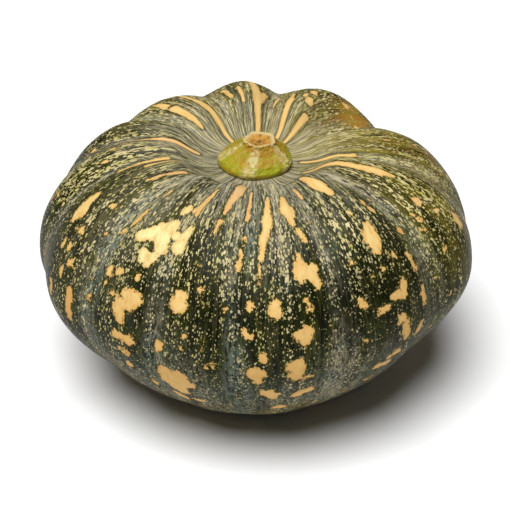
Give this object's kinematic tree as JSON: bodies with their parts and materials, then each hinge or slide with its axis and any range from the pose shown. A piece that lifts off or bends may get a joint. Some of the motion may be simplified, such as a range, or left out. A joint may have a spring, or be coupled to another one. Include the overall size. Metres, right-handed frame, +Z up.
{
  "type": "winter squash",
  "caption": "Squat, ribbed winter squash with mottled green rind and a short cut stem, resting on its flattened blossom end.",
  "frame": {"origin": "on the stem's axis, at the middle of the footprint, on the surface that the squash rests on", "axes": "+Z up along the stem's axis, towards the cut end of the stem; the deepest groove is on the +X +Y side; -Y is the front"},
  "size_m": [0.2383, 0.231, 0.148],
  "materials": {
    "rind": "waxy semi-gloss rind, dark green with cream speckles, streaks and blotches and a grey-green bloom in the grooves",
    "stem": "satin, olive-yellow with corky brown patches and a dry brown cut face"
  },
  "bodies": {
    "root": {"fruit": "rind", "stem": "stem"}
  },
  "joints": []
}
